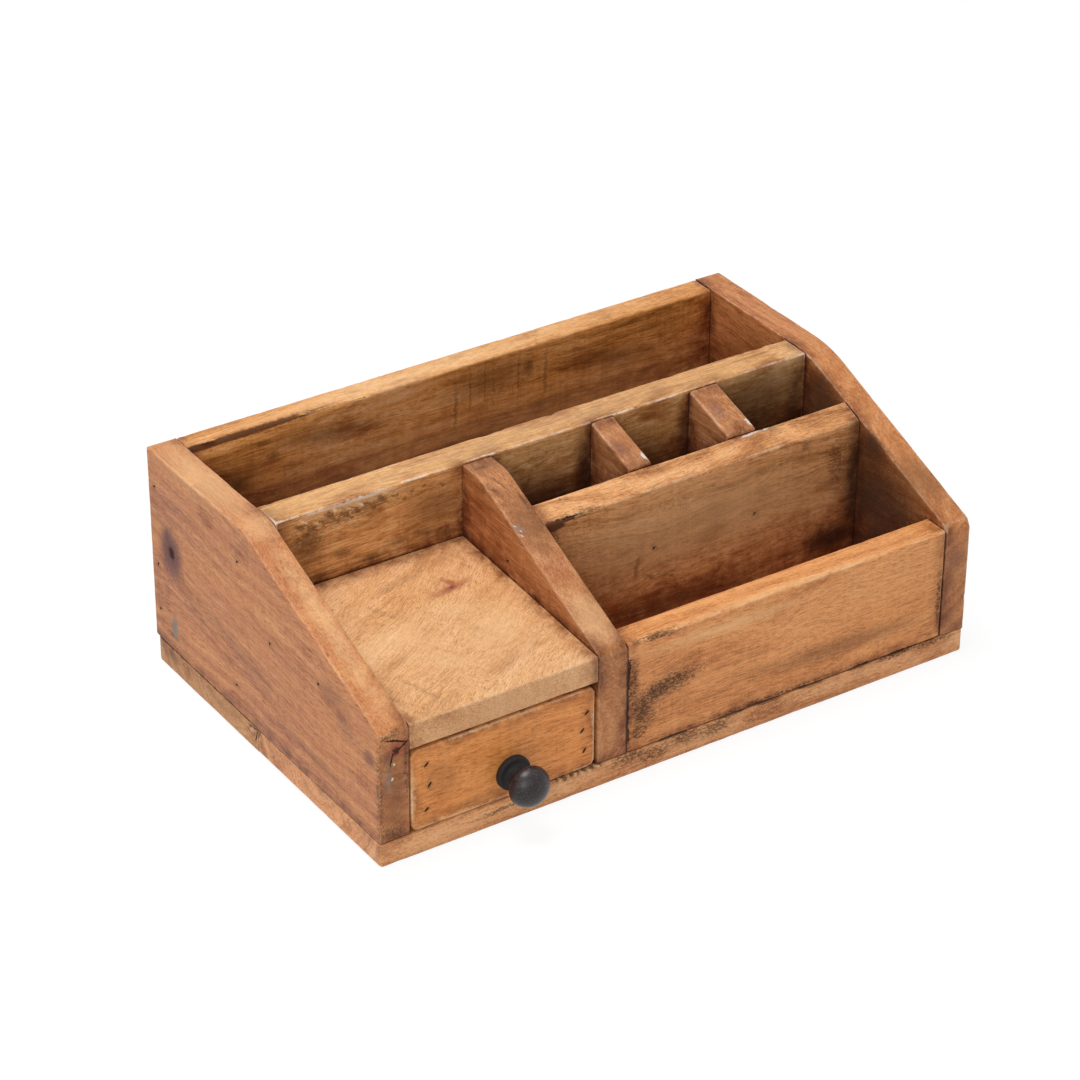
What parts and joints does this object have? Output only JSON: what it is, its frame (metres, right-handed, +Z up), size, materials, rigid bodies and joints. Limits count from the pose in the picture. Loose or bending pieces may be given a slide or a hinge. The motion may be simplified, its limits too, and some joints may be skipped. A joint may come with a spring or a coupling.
{
  "type": "desk organizer",
  "caption": "Wooden desk organizer with sloping sides, a long rear trough, pen slots, a front compartment and a fixed shelf over a small drawer with a round knob.",
  "frame": {"origin": "centre of the base's underside, which lies on the desk", "axes": "+X to the right along the length, +Y from the drawer's face to the back, +Z up"},
  "size_m": [0.27, 0.1876, 0.096],
  "materials": {
    "reclaimed_hardwood": "waxed, honey brown stain",
    "shelf_hardwood": "waxed, light golden stain",
    "drawer_front_hardwood": "waxed, orange stain",
    "base_hardwood": "waxed, rough-sawn edges",
    "thin_plywood": "bare, unsanded",
    "brad_steel": "dull, darkened by wax",
    "blackened_knob": "satin charcoal black",
    "screw_steel": "zinc plated"
  },
  "bodies": {
    "case": {"base_front_plank": "base_hardwood", "base_rear_plank": "base_hardwood", "left_side": "reclaimed_hardwood", "right_side": "reclaimed_hardwood", "back_panel": "reclaimed_hardwood", "long_partition": "reclaimed_hardwood", "short_partition": "reclaimed_hardwood", "middle_divider": "reclaimed_hardwood", "slot_divider_left": "reclaimed_hardwood", "slot_divider_right": "reclaimed_hardwood", "front_panel": "reclaimed_hardwood", "shelf": "shelf_hardwood", "base_brads": "brad_steel", "left_side_brads": "brad_steel", "right_side_brads": "brad_steel", "middle_divider_brads": "brad_steel", "long_partition_brads": "brad_steel", "short_partition_brads": "brad_steel", "shelf_brad": "brad_steel"},
    "drawer": {"drawer_front": "drawer_front_hardwood", "drawer_left_side": "reclaimed_hardwood", "drawer_right_side": "reclaimed_hardwood", "drawer_back": "reclaimed_hardwood", "drawer_bottom": "thin_plywood", "knob": "blackened_knob", "knob_screw": "screw_steel", "drawer_front_brads": "brad_steel", "drawer_back_brads": "brad_steel", "drawer_bottom_brads": "brad_steel"}
  },
  "joints": [
    {"name": "drawer_slide", "type": "slide", "parent": "case", "child": "drawer", "axis": [0, -1, 0], "range_m": [0, 0.08]}
  ]
}
